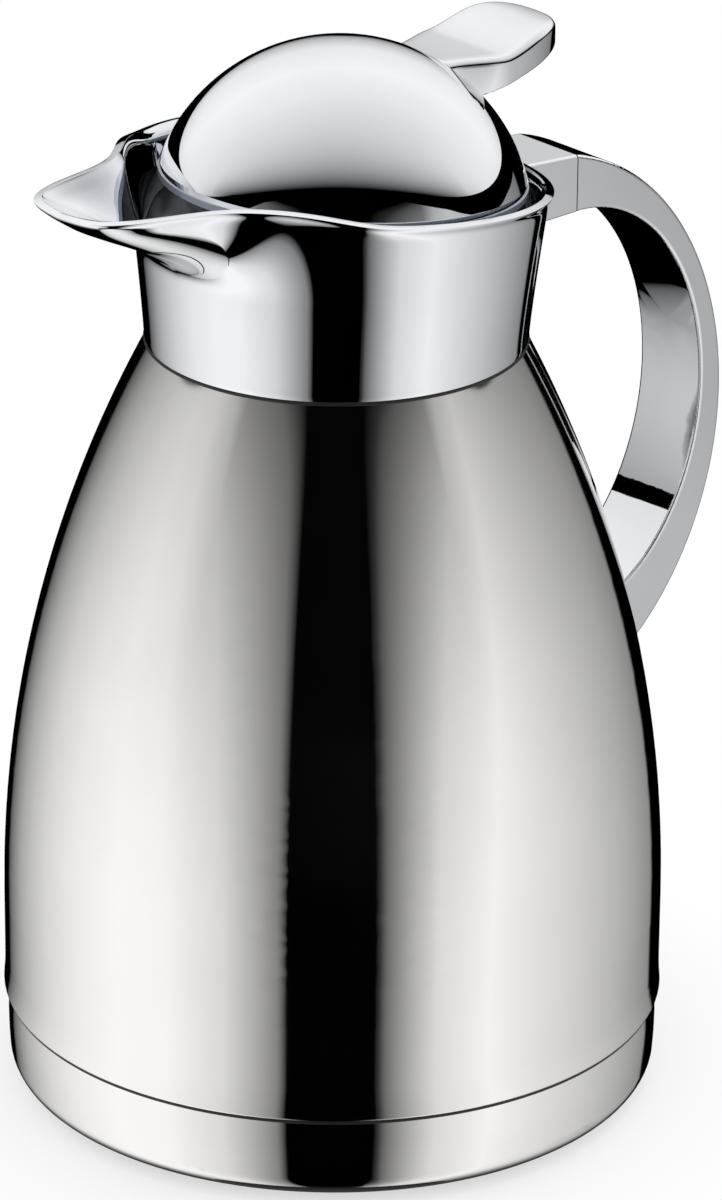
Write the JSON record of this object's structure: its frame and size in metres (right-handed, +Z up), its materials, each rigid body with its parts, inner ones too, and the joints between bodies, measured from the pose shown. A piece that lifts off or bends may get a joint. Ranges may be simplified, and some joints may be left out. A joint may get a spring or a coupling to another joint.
{
  "type": "vacuum jug",
  "caption": "Double-walled steel vacuum jug with a tapering barrel, chromed pouring collar and spout, strap handle, and a hinged domed lid opened by a thumb lever.",
  "frame": {"origin": "centre of the rest face, on the barrel's axis", "axes": "+Z up along the barrel's axis, -X towards the spout, +X towards the handle, +Y along the hinge pin"},
  "size_m": [0.1657, 0.1334, 0.2171],
  "materials": {
    "polished_steel": "polished",
    "vessel_steel": "satin",
    "chrome": "mirror",
    "trim": "gloss",
    "black_plastic": "matte",
    "grey_plastic": "satin",
    "foam": "matte",
    "pad_rubber": "matte",
    "seal_rubber": "matte",
    "getter": "matte",
    "screw_steel": "satin"
  },
  "bodies": {
    "jug": {"outer_shell": "polished_steel", "inner_vessel": "vessel_steel", "vacuum_bottom": "vessel_steel", "getter_pill": "getter", "evacuation_plug": "vessel_steel", "foot_ring": "polished_steel", "base_pad": "pad_rubber", "base_cover": "black_plastic", "base_studs": "vessel_steel", "base_screws": "screw_steel", "pouring_collar": "chrome", "handle_screw": "screw_steel", "collar_gasket": "seal_rubber", "neck_nut": "black_plastic", "pouring_ring": "grey_plastic", "handle": "chrome", "handle_boss": "vessel_steel", "handle_foot_screw": "screw_steel", "hinge_pin": "screw_steel"},
    "lid": {"lid_dome": "chrome", "lid_trim_ring": "trim", "lid_pan": "chrome", "lid_screws": "screw_steel", "lid_insulation": "foam", "stopper_plug": "grey_plastic", "stopper_seal": "seal_rubber", "thumb_lever": "chrome", "lever_screws": "screw_steel"}
  },
  "joints": [
    {"name": "lid_hinge", "type": "hinge", "parent": "jug", "child": "lid", "pos_m": [0.0367, 0, 0.1865], "axis": [0, 1, 0], "range_deg": [0, 66]}
  ]
}
